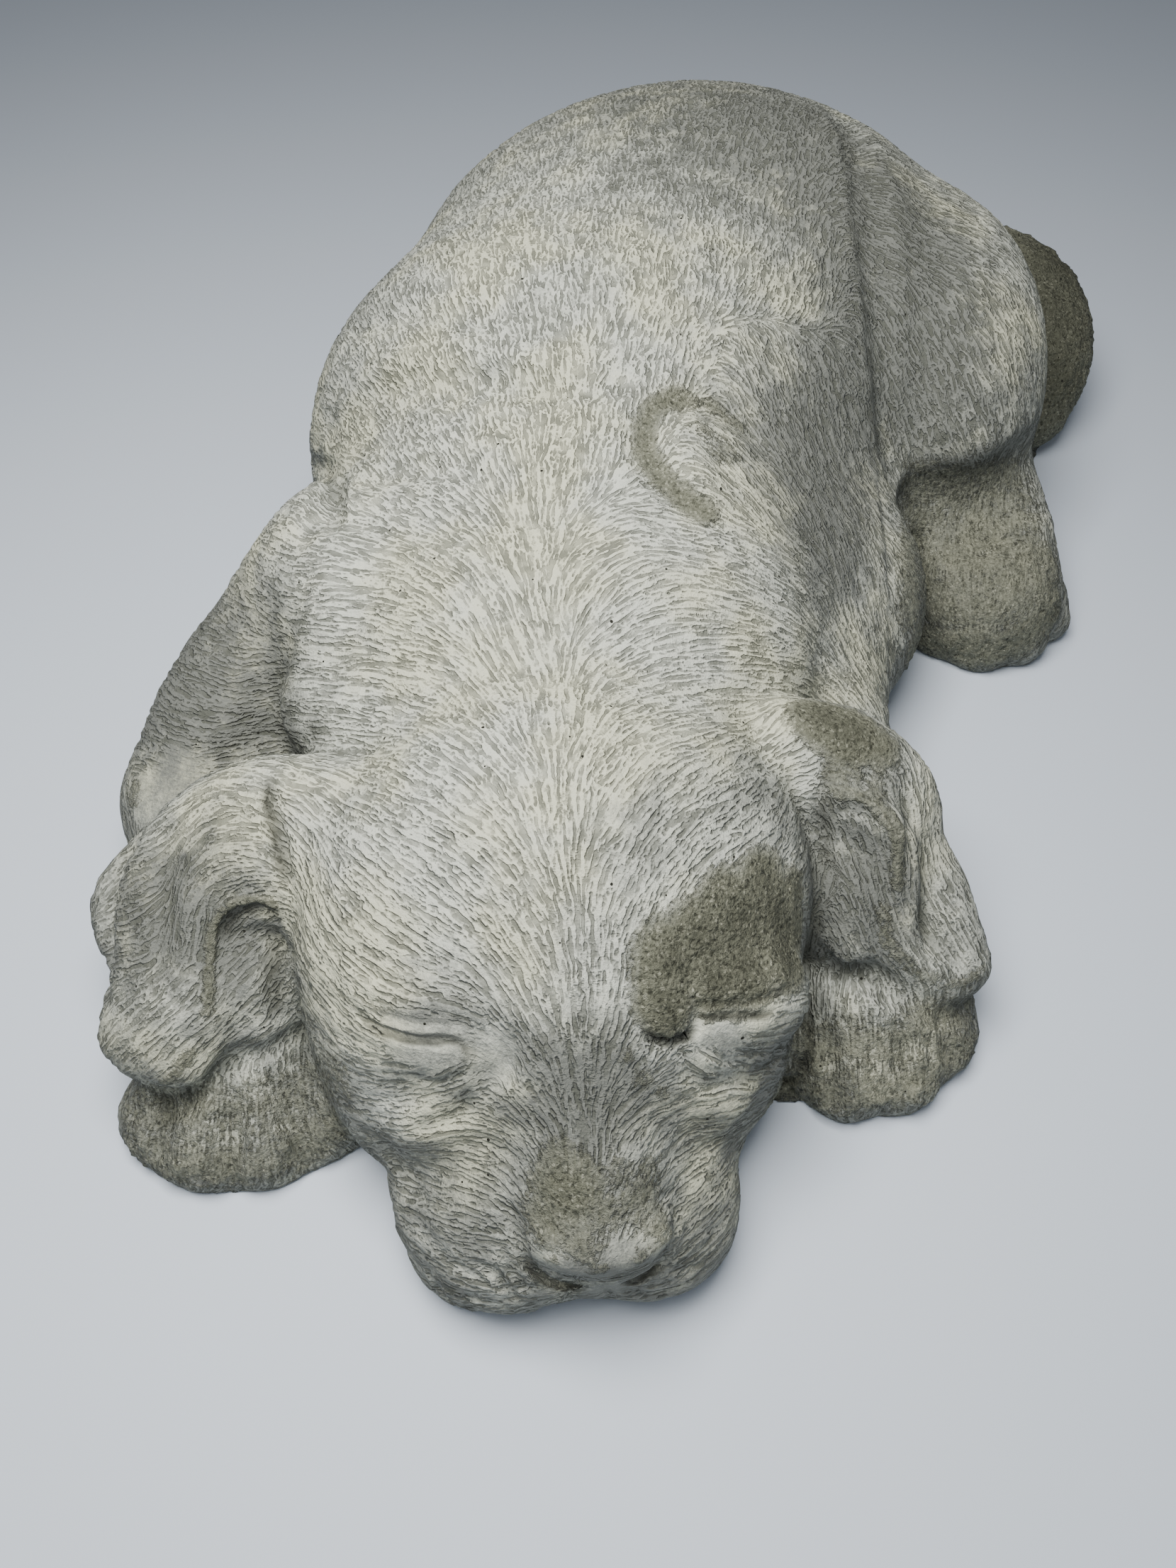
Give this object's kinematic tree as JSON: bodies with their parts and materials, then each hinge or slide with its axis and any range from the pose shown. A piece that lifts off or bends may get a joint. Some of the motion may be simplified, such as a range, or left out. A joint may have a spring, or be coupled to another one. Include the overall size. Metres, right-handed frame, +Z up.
{
  "type": "sleeping puppy statue",
  "caption": "A floppy-eared puppy asleep on its belly, chin down between its forepaws and hips rolled to one side, cast in concrete as one solid piece with carved fur and a worn whitewash.",
  "frame": {"origin": "on the ground, under the middle of the statue's bounding box", "axes": "+Y from the puppy's nose to its rump, +Z up from the flat underside, +X to the side where its near hind foot and tail come out"},
  "size_m": [0.3413, 0.4298, 0.1305],
  "materials": {
    "cast_concrete": "cast sand and cement with a thin whitewash, worn through to grey-green concrete in patches"
  },
  "bodies": {
    "root": {"puppy": "cast_concrete"}
  },
  "joints": []
}
